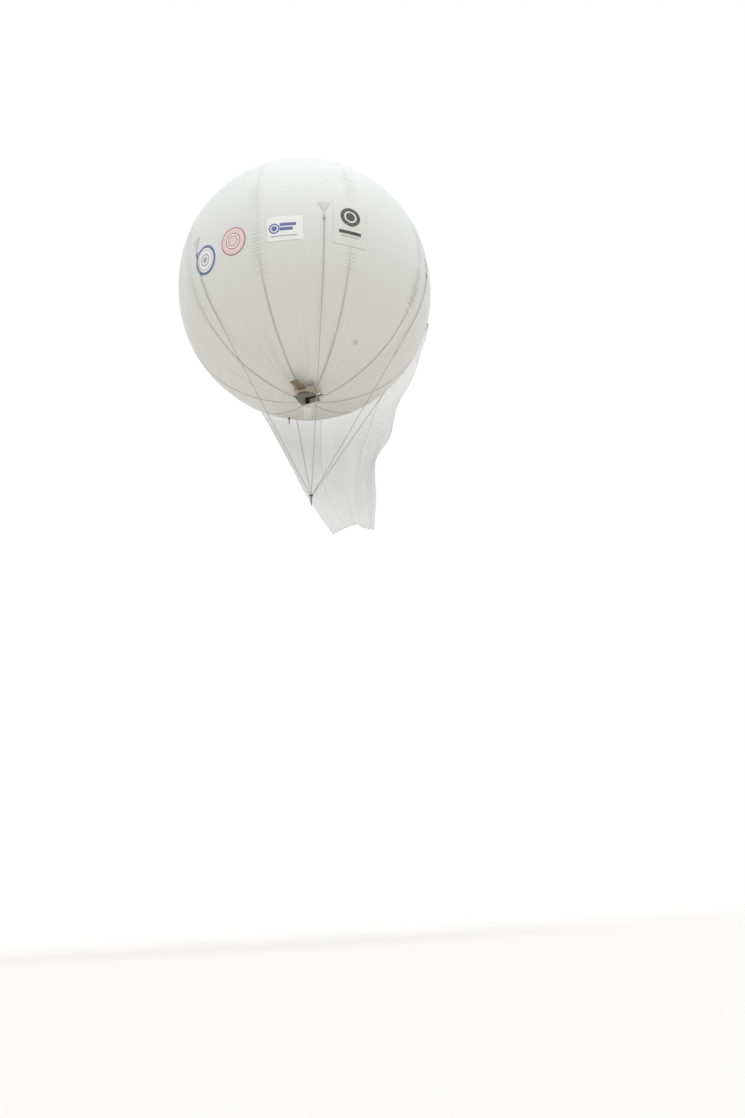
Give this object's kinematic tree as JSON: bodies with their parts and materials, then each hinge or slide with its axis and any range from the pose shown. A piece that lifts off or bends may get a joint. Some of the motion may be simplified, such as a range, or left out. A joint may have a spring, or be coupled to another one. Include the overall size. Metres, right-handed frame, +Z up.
{
  "type": "tethered aerostat",
  "caption": "Round gored helium envelope with load tapes, a rope bridle to a swivel, a loose rear skirt and a small camera payload under its lower pole.",
  "frame": {"origin": "centre of the round envelope, where its lift acts", "axes": "+Z up, -Y towards the payload's side, which the picture shows in front, +X to the right in the picture"},
  "size_m": [4, 4.0141, 5.945],
  "materials": {
    "envelope_fabric": "coated, semi-matte off-white envelope fabric",
    "load_tape": "grey-beige webbing welded over the seams",
    "patch_fabric": "doubled off-white fabric",
    "skirt_fabric": "thin translucent white fabric",
    "rope": "grey braided rope",
    "steel": "dull dark steel",
    "tray": "beige painted sheet",
    "payload_housing": "grey-green moulded plastic",
    "board": "plain brown board",
    "black_plastic": "black plastic",
    "white_plastic": "white plastic"
  },
  "bodies": {
    "aerostat": {"gore_1": "envelope_fabric", "gore_2": "envelope_fabric", "gore_3": "envelope_fabric", "gore_4": "envelope_fabric", "gore_5": "envelope_fabric", "gore_6": "envelope_fabric", "gore_7": "envelope_fabric", "gore_8": "envelope_fabric", "gore_9": "envelope_fabric", "load_tape_1": "load_tape", "load_tape_2": "load_tape", "load_tape_3": "load_tape", "load_tape_4": "load_tape", "load_tape_5": "load_tape", "load_tape_6": "load_tape", "load_tape_7": "load_tape", "load_tape_8": "load_tape", "load_tape_9": "load_tape", "crown_patch": "patch_fabric", "base_patch": "patch_fabric", "load_patch_front": "patch_fabric", "load_patch_right": "patch_fabric", "load_patch_rear_right": "patch_fabric", "load_patch_rear": "patch_fabric", "load_patch_left": "patch_fabric", "bridle_ring_front": "steel", "bridle_ring_right": "steel", "bridle_ring_rear_right": "steel", "bridle_ring_rear": "steel", "bridle_ring_left": "steel", "bridle_line_front": "rope", "bridle_line_right": "rope", "bridle_line_rear_right": "rope", "bridle_line_rear": "rope", "bridle_line_left": "rope", "bridle_plate": "steel", "swivel_head": "steel", "skirt_hem_line": "rope", "skirt_panel_left": "skirt_fabric", "skirt_panel_centre": "skirt_fabric", "skirt_panel_right": "skirt_fabric", "payload_tray": "tray", "payload_box": "payload_housing", "outrigger_board": "board", "camera_base": "black_plastic", "rod_aerial": "black_plastic", "radio_box": "white_plastic", "fill_collar": "black_plastic", "fill_sleeve": "patch_fabric"},
    "swivel": {"swivel_shank": "steel"},
    "shackle": {"tether_shackle": "steel"},
    "yoke": {"camera_yoke": "black_plastic"},
    "camera": {"camera_head": "black_plastic"}
  },
  "joints": [
    {"name": "swivel_turn", "type": "hinge", "parent": "aerostat", "child": "swivel", "pos_m": [0, 0, -3.6326], "axis": [0, 0, 1], "continuous": true},
    {"name": "shackle_swing", "type": "hinge", "parent": "swivel", "child": "shackle", "pos_m": [0, 0, -3.6906], "axis": [0, 1, 0], "range_deg": [-80, 80]},
    {"name": "camera_pan", "type": "hinge", "parent": "aerostat", "child": "yoke", "pos_m": [-0.01579, -0.2996, -2.1406], "axis": [0, 0, 1], "range_deg": [-170, 170]},
    {"name": "camera_tilt", "type": "hinge", "parent": "yoke", "child": "camera", "pos_m": [-0.01579, -0.2996, -2.1906], "axis": [0.9063, -0.4226, 0], "range_deg": [-30, 90]}
  ]
}
